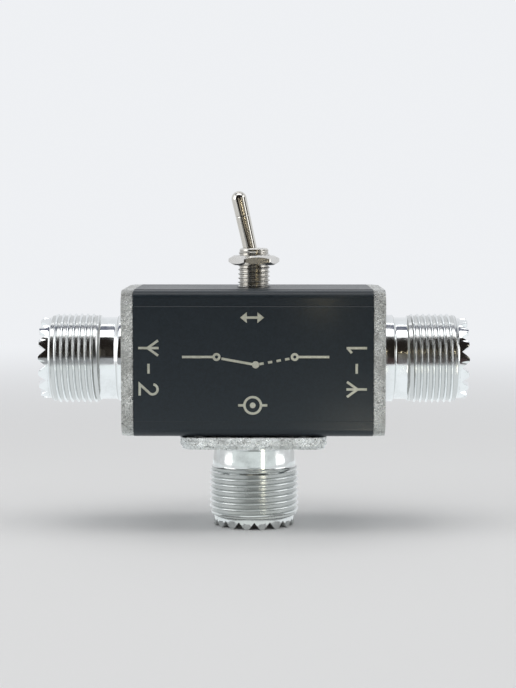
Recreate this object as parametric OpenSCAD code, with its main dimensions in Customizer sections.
// Coaxial antenna switch: one common port below, two switched ports at the
// sides, and a miniature toggle on top. Millimetres, +Z up, front at -Y.
// The origin is on the axis of the lower port, level with its tooth tips.

/* [Housing] */
// Length of the housing between its two end flanges
housing_l = 41.2; // [34:0.1:60]
// Side of the square section of the housing and of every flange
section = 25.4; // [25:0.1:31]
// Thickness of the housing wall
wall = 2.0; // [1.6:0.1:2.8]
// Radius of the long edges of the housing and of the flange corners
corner_r = 2.8; // [2.2:0.1:3.2]
// How far the flat panels stand proud of the rounded edges
land_rise = 0.12; // [0.05:0.01:0.3]
// Radius of the corners inside the housing
inner_corner_r = 0.8; // [0.4:0.1:1.5]
// Radius of the material round each long screw channel
channel_r = 2.4; // [2.2:0.1:2.8]

/* [Flange] */
// Thickness of a connector's flange
flange_t = 2.1; // [1.8:0.1:2.8]
// Height of the drafted outer layer of the flange
draft_t = 0.9; // [0.6:0.1:1.2]
// How far the drafted layer stands back from the flange edge
draft_inset = 0.35; // [0.2:0.05:0.6]
// Distance between neighbouring flange screws
screw_spacing = 18.2; // [17.6:0.1:18.6]

/* [Port barrel] */
// Length of the flared collar next to the flange
collar_l = 2.3; // [1.5:0.1:3]
// Diameter of the collar where it meets the flange
collar_d = 15.7; // [15:0.1:16.4]
// Length of the plain neck
neck_l = 2.4; // [1.5:0.1:4]
// Diameter of the neck and of the toothed rim
neck_d = 14.3; // [14:0.1:14.5]
// Outer diameter of the coupling thread
port_thread_d = 15.875; // [15.5:0.025:16.2]
// Pitch of the coupling thread
port_pitch = 1.0583; // [1:0.0001:1.2]
// Number of thread turns
port_turns = 8; // [6:1:10]
// Length of the rim past the thread, teeth included
rim_l = 1.85; // [1.7:0.05:2.5]
// Height of the rim teeth
tooth_h = 1.3; // [1:0.05:1.5]
// Width left at the tip of each tooth
tooth_tip_w = 0.7; // [0.5:0.05:1]
// Number of rim teeth
teeth = 16; // [14:1:18]
// Inner diameter of the barrel
barrel_bore_d = 12.2; // [11.8:0.1:12.6]
// Thickness of the rear shoulder inside the barrel
shoulder_t = 1.2; // [0.8:0.1:1.6]
// Hole through the rear shoulder
rear_hole_d = 10; // [9:0.1:10.4]

/* [Port insulation and contact] */
// Inner diameter of the centre contact
contact_bore_d = 4.0; // [3.6:0.05:4.2]
// Outer diameter of the centre contact
contact_d = 5.2; // [4.8:0.1:5.6]
// Depth of the centre contact's bore
contact_bore_l = 10; // [8:0.1:11]
// Length of the slots that let the contact spring
slot_l = 7; // [5:0.1:7.5]
// Width of those slots
slot_w = 0.5; // [0.4:0.05:0.7]
// Diameter of the insulator boss round the contact
boss_d = 8.6; // [8:0.1:9]
// Length of the front insulator's base
base_l = 3.6; // [2.5:0.1:5]
// How far the boss lies behind the tooth tips
boss_recess = 2.2; // [1.5:0.1:4]
// How far the contact lies behind the boss face
contact_recess = 0.2; // [0.1:0.1:1]
// Thickness of the rear insulator's lip
lip_t = 1.0; // [0.8:0.1:1.4]
// How far the rear insulator stands behind the flange
rear_insulator_l = 3.0; // [2.9:0.1:4]
// Diameter of the contact's shank
shank_d = 3.2; // [3:0.1:3.4]
// Diameter of the collar that holds the contact lengthways
contact_collar_d = 6.6; // [6.2:0.1:7]
// Thickness of that collar
contact_collar_t = 0.8; // [0.6:0.1:1]
// Distance from the flange to the end of the solder cup
cup_reach = 7.5; // [7:0.1:8]
// Depth of the solder cup
cup_l = 3.5; // [3:0.1:4]
// Inner diameter of the solder cup
cup_bore_d = 2.2; // [2:0.1:2.4]

/* [Screws] */
// Thread diameter of the countersunk screws
screw_d = 3.0; // [2.8:0.1:3.1]
// Head diameter of the screws
head_d = 5.5; // [5.2:0.1:5.8]
// Height of the screw heads
head_h = 1.65; // [1.4:0.05:1.7]
// Length of the screws, head included
screw_l = 6.0; // [5:0.5:8]
// Span of the cross recess
recess_w = 2.6; // [2:0.1:2.8]
// Width of one slot of the cross recess
recess_slot_w = 0.6; // [0.5:0.05:0.8]
// Depth of the cross recess
recess_depth = 0.9; // [0.6:0.05:1.1]

/* [Toggle bushing and nut] */
// Outer diameter of the bushing thread
bushing_d = 6.0; // [5.8:0.05:6.4]
// Pitch of the bushing thread
bushing_pitch = 0.75; // [0.7:0.05:0.8]
// Length of bushing above the housing
bushing_exposed = 6.9; // [6.5:0.1:8]
// Bore round the ball of the lever
bushing_bore_d = 4.1; // [4.05:0.05:4.3]
// Wider bore below the ball
bushing_skirt_d = 4.6; // [4.6:0.05:4.8]
// Diameter at the top of the bushing's chamfer
bushing_top_d = 4.7; // [4.6:0.1:5.2]
// Width across the flats of the nut
nut_af = 8.0; // [7.5:0.1:10]
// Thickness of the nut
nut_t = 1.55; // [1.4:0.05:2]
// Height of the nut's underside above the housing
nut_rise = 3.95; // [0.2:0.05:4.6]
// Turn of the nut about its axis
nut_turn = 9; // [0:1:59]

/* [Lever] */
// Tilt of the lever to each side
tilt = 12.5; // [10:0.5:12.5]
// Depth of the pivot below the bushing top
pivot_depth = 3.2; // [3:0.05:3.3]
// Distance from the pivot to the lever tip
lever_l = 13.55; // [12:0.05:16]
// Diameter of the lever at the bushing
lever_base_d = 2.35; // [2.2:0.05:2.4]
// Diameter of the lever at its tip
lever_tip_d = 2.7; // [2.5:0.05:3.2]
// Diameter of the cross pin
pin_d = 0.8; // [0.7:0.05:0.9]
// Length of the cross pin
pin_l = 4.6; // [4.5:0.05:4.7]
// Length of the tail below the pivot
tail_l = 6.8; // [6.4:0.1:7]
// Diameter of the tail
tail_d = 1.9; // [1.8:0.05:1.9]
// Bore in the tail for the plunger and its spring
tail_bore_d = 1.1; // [1:0.05:1.15]
// Distance from the pivot to the closed end of that bore
tail_bore_top = 1.5; // [1.3:0.1:1.8]
// Distance from the pivot to the upper end of the plunger
plunger_top = 4.4; // [4.2:0.1:4.8]
// Number of turns of the plunger spring
spring_turns = 6; // [4:1:7]
// Wire diameter of the plunger spring
spring_wire_d = 0.16; // [0.12:0.02:0.2]

/* [Switch body] */
// Distance between neighbouring terminals
terminal_pitch = 4.7; // [4.4:0.1:5.8]
// Width of the switch body
body_w = 7.9; // [7.5:0.1:9]
// Height of the switch body
body_h = 9.4; // [9.2:0.1:10]
// Thickness of the switch body's walls
body_wall = 1.0; // [0.8:0.1:1.2]
// Thickness of the floor that holds the terminals
floor_t = 1.8; // [1.2:0.1:2]
// Thickness of the resin seal under the floor
seal_t = 0.8; // [0.6:0.1:1]
// Thickness of the sheet steel frame
frame_t = 0.5; // [0.4:0.05:0.6]
// Width of the frame's two side straps
strap_w = 5.0; // [4:0.1:6]
// Depth of the rocker axis below the top of the switch body
rocker_depth = 4.0; // [3.9:0.05:4.2]
// Swing of the rocker to each side
rocker_tilt = 10; // [8:0.5:10]
// Upward bend of each rocker wing
wing_rise = 8; // [7:0.5:9]
// Thickness of the rocker wings
wing_t = 0.5; // [0.4:0.05:0.55]
// Width of the rocker
rocker_w = 2.6; // [2:0.1:3]
// Outer radius of the rocker's hub
hub_r = 0.75; // [0.7:0.05:0.8]
// Thickness of the terminal blades
blade_t = 0.8; // [0.7:0.05:0.9]
// Width of the terminal blades
blade_w = 2.0; // [1.8:0.1:2.4]
// Length of terminal below the switch body
lug_l = 4.7; // [4:0.1:4.9]
// Diameter of the hole in each lug
lug_hole_d = 1.3; // [1.2:0.05:1.4]
// Distance from the end of a lug to its hole
lug_hole_rise = 1.35; // [1.2:0.05:1.6]
// Diameter of the link wires
wire_d = 1.0; // [0.8:0.05:1.1]

/* [Clearances] */
// Radial play of turning and sliding fits
running = 0.05; // [0.03:0.01:0.08]
// Radial play of the cross pin in its keyways
pin_play = 0.03; // [0.02:0.01:0.05]
// Radial play of pieces that are assembled and then held
slip = 0.05; // [0.02:0.01:0.1]
// Play round screw shanks in the flanges
screw_play = 0.1; // [0.05:0.01:0.3]
// Gap between the plunger and the level rocker
plunger_gap = 0.12; // [0.1:0.01:0.2]
// Gap between a rocker wing and the contact it closes on
contact_gap = 0.08; // [0.05:0.01:0.15]

/* [Hidden] */
$fn = 64;
eps = 0.01;
quarter_turns = [0, 90, 180, 270];
sides = [-1, 1];

// Share of the pitch taken by the depth, a flank and the crest of a 60 degree thread
thread_depth_share = 0.6134;
flank_share = 0.354;
crest_share = 0.125;

port_root_d = port_thread_d - 2 * thread_depth_share * port_pitch;
thread_l = port_turns * port_pitch;
barrel_l = collar_l + neck_l + thread_l + rim_l;
port_l = flange_t + barrel_l;
thread_z = flange_t + collar_l + neck_l;

base_z = barrel_l + flange_t;
top_z = base_z + section;
axis_z = base_z + section / 2;
roof_z = top_z - wall;

screw_xy = screw_spacing / 2;
csk_d = head_d + 2 * screw_play;

lip_d = barrel_bore_d - 2 * slip;
lip_z = shoulder_t + lip_t;
boss_z = port_l - boss_recess;
contact_z = boss_z - contact_recess;
cup_d = cup_bore_d + 1.3;
shank_end_z = cup_l + 0.5 - cup_reach;

bushing_z = top_z + bushing_exposed;
bushing_l = bushing_exposed + wall;
bushing_chamfer = (bushing_d - bushing_top_d) / 2;
bushing_turns = floor((bushing_l - bushing_chamfer) / bushing_pitch);
bushing_root_d = bushing_d - 2 * thread_depth_share * bushing_pitch;
pivot_z = bushing_z - pivot_depth;
ball_d = bushing_bore_d - 2 * running;

frame_z = roof_z - frame_t;
body_l = 2 * terminal_pitch + 3.8;
body_z = frame_z - body_h;
cavity_l = body_l - 2 * body_wall;
cavity_w = body_w - 2 * body_wall;
cavity_z = body_z + seal_t + floor_t;
rocker_z = frame_z - rocker_depth;
rocker_half_l = terminal_pitch + 0.4;
journal_r = 0.4;
wing_seat = hub_r - wing_t - 0.04;
hub_floor = 0.1;
wing_drop = rocker_tilt - wing_rise;
pad_z = rocker_z + wing_seat - terminal_pitch * tan(wing_drop) - contact_gap;
pad_t = 0.5;
pad_l = 1.5;
lug_z = body_z - lug_l;
lug_hole_z = lug_z + lug_hole_rise;

plunger_d = tail_bore_d - 2 * running;
plunger_tip = pivot_z - rocker_z - hub_r - plunger_gap;

cup_face_x = housing_l / 2 - cup_reach;
cup_face_z = base_z + cup_reach;
solder_l = 0.8;
wire_sides = 12;
wire_rings = 16;

// ---- Shared shapes ----

module rounded_square(side, r) {
  inner = side - 2 * r;
  square([side, inner], center = true);
  square([inner, side], center = true);
  for (sx = sides, sy = sides)
    translate([sx * inner / 2, sy * inner / 2]) circle(r = r);
}

module at_screws() {
  for (a = quarter_turns)
    rotate([0, 0, a]) translate([screw_xy, screw_xy, 0]) children();
}

// Each port is drawn with its flange back at z = 0 and its teeth at the top
module at_left() {
  translate([-housing_l / 2, 0, axis_z]) rotate([0, -90, 0]) children();
}

module at_right() {
  translate([housing_l / 2, 0, axis_z]) rotate([0, 90, 0]) children();
}

module at_lower() {
  translate([0, 0, base_z]) rotate([180, 0, 0]) children();
}

// Outline of a ridged thread, from its start upwards
function thread_points(z0, turns, pitch, crest_r, root_r) = [
  for (i = [0 : turns - 1]) each [
    [root_r, z0 + i * pitch],
    [crest_r, z0 + (i + flank_share) * pitch],
    [crest_r, z0 + (i + flank_share + crest_share) * pitch],
    [root_r, z0 + (i + 2 * flank_share + crest_share) * pitch]
  ]
];

// A round tube swept through points that lie in one XZ plane
module swept_wire(path, d) {
  n = len(path);
  heading = [for (i = [0 : n - 1])
    path[min(i + 1, n - 1)] - path[max(i - 1, 0)]];
  rings = [for (i = [0 : n - 1], k = [0 : wire_sides - 1])
    let (u = heading[i] / norm(heading[i]),
         a = 360 * k / wire_sides)
      path[i] + d / 2 * (cos(a) * [0, 1, 0] + sin(a) * [u[2], 0, -u[0]])];
  sleeve = [for (i = [0 : n - 2], k = [0 : wire_sides - 1])
    let (a = i * wire_sides + k,
         b = i * wire_sides + (k + 1) % wire_sides)
      [a, b, b + wire_sides, a + wire_sides]];
  start_cap = [for (k = [wire_sides - 1 : -1 : 0]) k];
  end_cap = [for (k = [0 : wire_sides - 1]) (n - 1) * wire_sides + k];
  polyhedron(rings, concat([start_cap], sleeve, [end_cap]));
}

function ease(t) = t * t * (3 - 2 * t);

// ---- Housing ----

module housing_section() {
  difference() {
    union() {
      rounded_square(section - 2 * land_rise, corner_r - land_rise);
      square([section, section - 2 * corner_r], center = true);
      square([section - 2 * corner_r, section], center = true);
    }
    difference() {
      rounded_square(section - 2 * wall, inner_corner_r);
      for (a = quarter_turns) rotate(a) translate([screw_xy, screw_xy]) {
        circle(r = channel_r);
        square([section, section]);
      }
    }
    for (a = quarter_turns) rotate(a) translate([screw_xy, screw_xy])
      circle(d = screw_d + 2 * slip);
  }
}

module housing() {
  reach = screw_l - flange_t + 2 * slip;
  color([0.10, 0.12, 0.14]) difference() {
    translate([0, 0, axis_z]) rotate([90, 0, 90])
      linear_extrude(housing_l, center = true) housing_section();
    translate([0, 0, roof_z - eps])
      cylinder(d = bushing_d + 2 * slip, h = wall + 2 * eps);
    translate([0, 0, base_z - eps])
      cylinder(d = rear_hole_d + 2 * screw_play, h = wall + 2 * eps);
    translate([0, 0, base_z - eps]) at_screws()
      cylinder(d = screw_d + 2 * slip, h = reach + eps);
  }
}

// ---- Ports ----

module barrel_outline() {
  thread_end = thread_z + thread_l;
  polygon(concat(
    [[0, 0], [collar_d / 2, 0],
     [collar_d / 2, flange_t],
     [neck_d / 2 + 0.25, flange_t + collar_l - 0.15],
     [neck_d / 2, flange_t + collar_l]],
    [[neck_d / 2, thread_z - eps]],
    thread_points(thread_z, port_turns, port_pitch, port_thread_d / 2, port_root_d / 2),
    [[neck_d / 2, thread_end], [neck_d / 2, port_l], [0, port_l]]
  ));
}

module tooth_gaps() {
  gap_w = PI * neck_d / teeth - tooth_tip_w;
  over = 0.5;
  top_w = gap_w * (tooth_h + over) / tooth_h;
  for (i = [0 : teeth - 1]) rotate([0, 0, (i + 0.5) * 360 / teeth])
    translate([boss_d / 2, 0, port_l]) rotate([90, 0, 90])
      linear_extrude(neck_d / 2)
        polygon([[-top_w / 2, over], [top_w / 2, over], [0, -tooth_h]]);
}

module screw_hole() {
  cone_h = (csk_d - screw_d) / 2 - screw_play;
  translate([0, 0, -eps]) cylinder(d = screw_d + 2 * screw_play, h = flange_t + 2 * eps);
  translate([0, 0, flange_t - cone_h])
    cylinder(d1 = screw_d + 2 * screw_play, d2 = csk_d, h = cone_h);
  translate([0, 0, flange_t - eps]) cylinder(d = csk_d, h = 2 * eps);
}

module port_shell() {
  color([0.80, 0.81, 0.80]) difference() {
    union() {
      linear_extrude(flange_t - draft_t) rounded_square(section, corner_r);
      linear_extrude(flange_t)
        rounded_square(section - 2 * draft_inset, corner_r - draft_inset);
      rotate_extrude() barrel_outline();
    }
    tooth_gaps();
    translate([0, 0, -eps]) cylinder(d = rear_hole_d, h = shoulder_t + 2 * eps);
    translate([0, 0, shoulder_t]) cylinder(d = barrel_bore_d, h = port_l);
    at_screws() screw_hole();
  }
}

module front_insulator() {
  collar_space = contact_collar_t + slip;
  color([0.93, 0.92, 0.88]) difference() {
    union() {
      translate([0, 0, lip_z]) cylinder(d = lip_d, h = base_l);
      translate([0, 0, lip_z]) cylinder(d = boss_d, h = boss_z - lip_z);
    }
    translate([0, 0, lip_z - eps])
      cylinder(d = contact_collar_d + 2 * slip, h = collar_space + eps);
    translate([0, 0, lip_z]) cylinder(d = contact_d + 2 * slip, h = port_l);
  }
}

module rear_insulator() {
  color([0.93, 0.92, 0.88]) difference() {
    union() {
      translate([0, 0, -rear_insulator_l])
        cylinder(d = rear_hole_d - 2 * slip, h = rear_insulator_l + lip_z - eps);
      translate([0, 0, shoulder_t]) cylinder(d = lip_d, h = lip_t);
    }
    translate([0, 0, -rear_insulator_l - eps])
      cylinder(d = shank_d + 2 * slip, h = rear_insulator_l + port_l);
  }
}

module contact() {
  color([0.86, 0.80, 0.62]) difference() {
    union() {
      translate([0, 0, lip_z]) cylinder(d = contact_d, h = contact_z - lip_z);
      translate([0, 0, lip_z]) cylinder(d = contact_collar_d, h = contact_collar_t);
      translate([0, 0, shank_end_z]) cylinder(d = shank_d, h = lip_z - shank_end_z + eps);
      translate([0, 0, -cup_reach]) cylinder(d = cup_d, h = cup_l + 0.5);
    }
    translate([0, 0, contact_z - contact_bore_l])
      cylinder(d = contact_bore_d, h = contact_bore_l + eps);
    for (a = [45, 135]) rotate([0, 0, a]) translate([0, 0, contact_z - slot_l / 2])
      cube([contact_d + 2 * eps, slot_w, slot_l + 2 * eps], center = true);
    translate([0, 0, -cup_reach - eps]) cylinder(d = cup_bore_d, h = cup_l + eps);
    // The cup is open on the side that the iron reaches
    translate([-cup_d / 2, cup_bore_d / 4, -cup_reach - eps])
      cube([cup_d, cup_d, cup_l - cup_bore_d / 2]);
  }
}

module flange_screw() {
  cone_h = (head_d - screw_d) / 2;
  color([0.72, 0.73, 0.73]) translate([0, 0, flange_t - screw_l]) difference() {
    union() {
      cylinder(d = screw_d, h = screw_l - head_h + eps);
      translate([0, 0, screw_l - head_h]) cylinder(d = screw_d, h = head_h - cone_h + eps);
      translate([0, 0, screw_l - cone_h]) cylinder(d1 = screw_d, d2 = head_d, h = cone_h);
    }
    for (a = [45, 135]) rotate([0, 0, a])
      translate([0, 0, screw_l - recess_depth / 2 + eps])
        cube([recess_w, recess_slot_w, recess_depth + 2 * eps], center = true);
  }
}

module flange_screws() {
  at_screws() flange_screw();
}

// ---- Toggle ----

module toggle_bushing() {
  key_w = pin_d + 2 * pin_play;
  key_l = pin_l + 2 * pin_play;
  thread_top = roof_z + bushing_turns * bushing_pitch;
  color([0.78, 0.78, 0.76]) difference() {
    rotate_extrude() polygon(concat(
      [[0, roof_z]],
      thread_points(roof_z, bushing_turns, bushing_pitch, bushing_d / 2, bushing_root_d / 2),
      [[bushing_root_d / 2, thread_top], [bushing_top_d / 2, bushing_z], [0, bushing_z]]
    ));
    translate([0, 0, roof_z - eps]) cylinder(d = bushing_bore_d, h = bushing_l + 2 * eps);
    translate([0, 0, roof_z - eps])
      cylinder(d = bushing_skirt_d, h = pivot_z - ball_d / 2 - roof_z);
    // Keyways, open below and round where the pin turns
    translate([-key_w / 2, -key_l / 2, roof_z - eps])
      cube([key_w, key_l, pivot_z - roof_z + eps]);
    translate([0, key_l / 2, pivot_z]) rotate([90, 0, 0]) cylinder(d = key_w, h = key_l);
  }
}

module toggle_nut() {
  face_r = nut_af / 2 - 0.1;
  bevel_w = 1;
  bevel_h = bevel_w * tan(30);
  color([0.78, 0.78, 0.76]) translate([0, 0, top_z + nut_rise]) difference() {
    intersection() {
      rotate([0, 0, nut_turn]) cylinder(d = nut_af / cos(30), h = nut_t, $fn = 6);
      rotate_extrude() polygon([
        [0, 0], [face_r, 0], [face_r + bevel_w, bevel_h],
        [face_r + bevel_w, nut_t - bevel_h], [face_r, nut_t], [0, nut_t]
      ]);
    }
    translate([0, 0, -eps]) cylinder(d = bushing_d + 2 * slip, h = nut_t + 2 * eps);
  }
}

// Everything that the lever carries is drawn upright about the pivot
module on_lever() {
  translate([0, 0, pivot_z]) rotate([0, -tilt, 0]) children();
}

module toggle_lever() {
  tip_z = lever_l - lever_tip_d / 2;
  color([0.80, 0.79, 0.76]) on_lever() difference() {
    union() {
      sphere(d = ball_d);
      cylinder(d1 = lever_base_d, d2 = lever_tip_d, h = tip_z);
      translate([0, 0, tip_z]) sphere(d = lever_tip_d);
      translate([0, 0, -tail_l]) cylinder(d = tail_d, h = tail_l);
    }
    translate([0, 0, -tail_l - eps])
      cylinder(d = tail_bore_d, h = tail_l - tail_bore_top + eps);
    translate([0, ball_d, 0]) rotate([90, 0, 0])
      cylinder(d = pin_d + 2 * eps, h = 2 * ball_d);
  }
}

module lever_pin() {
  color([0.62, 0.63, 0.65]) on_lever()
    translate([0, pin_l / 2, 0]) rotate([90, 0, 0]) cylinder(d = pin_d, h = pin_l);
}

module plunger() {
  r = plunger_d / 2;
  color([0.90, 0.89, 0.84]) on_lever() {
    translate([0, 0, r - plunger_tip]) cylinder(r = r, h = plunger_tip - r - plunger_top);
    translate([0, 0, r - plunger_tip]) sphere(r = r);
  }
}

module plunger_spring() {
  r = tail_bore_d / 2 - running - spring_wire_d / 2;
  seat = spring_wire_d / 2 + eps;
  low = -plunger_top + seat;
  high = -tail_bore_top - seat;
  steps = spring_turns * 12;
  ring_sides = 6;
  centre = [for (i = [0 : steps])
    [r * cos(30 * i), r * sin(30 * i), low + (high - low) * i / steps]];
  points = [for (i = [0 : steps], k = [0 : ring_sides - 1])
    let (a = 360 * k / ring_sides, out = [cos(30 * i), sin(30 * i), 0])
      centre[i] + spring_wire_d / 2 * (cos(a) * out + sin(a) * [0, 0, 1])];
  sleeve = [for (i = [0 : steps - 1], k = [0 : ring_sides - 1])
    let (a = i * ring_sides + k, b = i * ring_sides + (k + 1) % ring_sides)
      [a, a + ring_sides, b + ring_sides, b]];
  start_cap = [for (k = [0 : ring_sides - 1]) k];
  end_cap = [for (k = [ring_sides - 1 : -1 : 0]) steps * ring_sides + k];
  color([0.70, 0.71, 0.73]) on_lever()
    polyhedron(points, concat([start_cap], sleeve, [end_cap]));
}

// ---- Switch ----

module switch_frame() {
  strap_x = body_l / 2 + eps;
  strap_h = body_h * 0.8;
  color([0.70, 0.71, 0.70]) difference() {
    union() {
      translate([-strap_x - frame_t, -body_w / 2, frame_z])
        cube([2 * (strap_x + frame_t), body_w, frame_t]);
      for (s = sides) translate([s * (strap_x + frame_t / 2), 0, frame_z - strap_h / 2])
        cube([frame_t, strap_w, strap_h + 2 * eps], center = true);
    }
    translate([0, 0, frame_z - eps])
      cylinder(d = bushing_skirt_d + 0.6, h = frame_t + 2 * eps);
  }
}

module switch_body() {
  color([0.62, 0.12, 0.10]) difference() {
    translate([-body_l / 2, -body_w / 2, body_z]) cube([body_l, body_w, body_h]);
    translate([-cavity_l / 2, -cavity_w / 2, cavity_z])
      cube([cavity_l, cavity_w, body_h]);
    translate([-cavity_l / 2, -cavity_w / 2, body_z - eps])
      cube([cavity_l, cavity_w, seal_t + eps]);
    blade_slots(body_z, body_h);
  }
}

module blade_slots(z, h) {
  for (i = [-1 : 1]) translate([i * terminal_pitch, 0, z + h / 2])
    cube([blade_t + 2 * slip, blade_w + 2 * slip, h], center = true);
}

module terminal_seal() {
  seal_play = 2 * slip;
  color([0.20, 0.16, 0.12]) difference() {
    translate([-(cavity_l - seal_play) / 2, -(cavity_w - seal_play) / 2, body_z])
      cube([cavity_l - seal_play, cavity_w - seal_play, seal_t]);
    blade_slots(body_z - seal_t, 3 * seal_t);
  }
}

module blade(x, top) {
  translate([x - blade_t / 2, -blade_w / 2, lug_z]) cube([blade_t, blade_w, top - lug_z]);
}

module lug_hole(x) {
  translate([x - blade_t, 0, lug_hole_z]) rotate([0, 90, 0])
    cylinder(d = lug_hole_d, h = 2 * blade_t);
}

module end_terminal(s) {
  color([0.86, 0.80, 0.62]) difference() {
    union() {
      blade(s * terminal_pitch, pad_z);
      translate([s * terminal_pitch - pad_l / 2, -rocker_w / 2, pad_z - pad_t])
        cube([pad_l, rocker_w, pad_t]);
    }
    lug_hole(s * terminal_pitch);
  }
}

module common_terminal() {
  color([0.86, 0.80, 0.62]) difference() {
    union() {
      blade(0, rocker_z);
      translate([0, rocker_w / 2, rocker_z]) rotate([90, 0, 0])
        cylinder(r = journal_r, h = rocker_w);
    }
    lug_hole(0);
  }
}

module rocker_wing(s) {
  rotate(s * wing_rise) translate([s > 0 ? 0 : -rocker_half_l, wing_seat])
    square([rocker_half_l, wing_t]);
}

module rocker_outline() {
  difference() {
    union() {
      circle(r = hub_r);
      for (s = sides) rocker_wing(s);
    }
    circle(r = journal_r + running);
    translate([-section / 2, hub_floor - section]) square([section, section]);
  }
}

module rocker_contact() {
  color([0.84, 0.78, 0.60]) translate([0, rocker_w / 2, rocker_z])
    rotate([90, rocker_tilt, 0]) linear_extrude(rocker_w) rocker_outline();
}

// ---- Links inside ----

function side_wire_path(s) = [
  let (cup_x = cup_face_x + cup_l - 0.5,
       bend_x = cup_face_x - 0.4,
       lug_x = terminal_pitch + blade_t / 2 + solder_l,
       end_x = terminal_pitch - blade_t / 2 - 0.4)
  each [
    [s * cup_x, 0, axis_z],
    for (i = [0 : wire_rings - 1]) let (t = i / (wire_rings - 1))
      [s * (bend_x + (lug_x - bend_x) * t), 0,
       axis_z + (lug_hole_z - axis_z) * ease(t)],
    [s * end_x, 0, lug_hole_z]
  ]
];

module side_wire(s) {
  color([0.72, 0.73, 0.74]) if (s < 0) swept_wire(side_wire_path(s), wire_d);
  else mirror([1, 0, 0]) swept_wire(side_wire_path(-s), wire_d);
}

// It lies against the cup's wall, steps over to the lug and runs up beside it
module common_wire() {
  cup_side = (cup_bore_d - wire_d) / 2 - slip;
  lug_side = (blade_t + wire_d) / 2 + eps;
  low = cup_face_z - cup_l + 0.5;
  path = concat(
    [[cup_side, 0, low]],
    [for (i = [0 : wire_rings - 1]) let (t = i / (wire_rings - 1))
      [cup_side + (lug_side - cup_side) * ease(t), 0,
       cup_face_z + (lug_z - 0.1 - cup_face_z) * t]],
    [[lug_side, 0, lug_hole_z + lug_hole_d / 2 + 0.3]]
  );
  color([0.72, 0.73, 0.74]) swept_wire(path, wire_d);
}

// A fillet of solder round a wire where it enters a lug
module lug_solder() {
  difference() {
    cylinder(d1 = blade_w, d2 = wire_d + 0.3, h = solder_l);
    translate([0, 0, -eps]) cylinder(d = wire_d + 2 * eps, h = solder_l + 2 * eps);
  }
}

module solder_joints() {
  color([0.75, 0.76, 0.78]) for (s = sides)
    translate([s * (terminal_pitch + blade_t / 2 + eps), 0, lug_hole_z])
      rotate([0, 90 * s, 0]) lug_solder();
}

// ---- Assembly ----

housing();
at_left() port_shell();  // left_port_shell
at_right() port_shell();  // right_port_shell
at_lower() port_shell();  // lower_port_shell
at_left() front_insulator();  // left_front_insulator
at_right() front_insulator();  // right_front_insulator
at_lower() front_insulator();  // lower_front_insulator
at_left() rear_insulator();  // left_rear_insulator
at_right() rear_insulator();  // right_rear_insulator
at_lower() rear_insulator();  // lower_rear_insulator
at_left() contact();  // left_contact
at_right() contact();  // right_contact
at_lower() contact();  // lower_contact
at_left() flange_screws();  // left_flange_screws
at_right() flange_screws();  // right_flange_screws
at_lower() flange_screws();  // lower_flange_screws
toggle_bushing();
toggle_nut();
toggle_lever();
lever_pin();
plunger();
plunger_spring();
switch_frame();
switch_body();
terminal_seal();
rocker_contact();
end_terminal(-1);  // left_terminal
common_terminal();
end_terminal(1);  // right_terminal
side_wire(-1);  // left_wire
side_wire(1);  // right_wire
common_wire();
solder_joints();
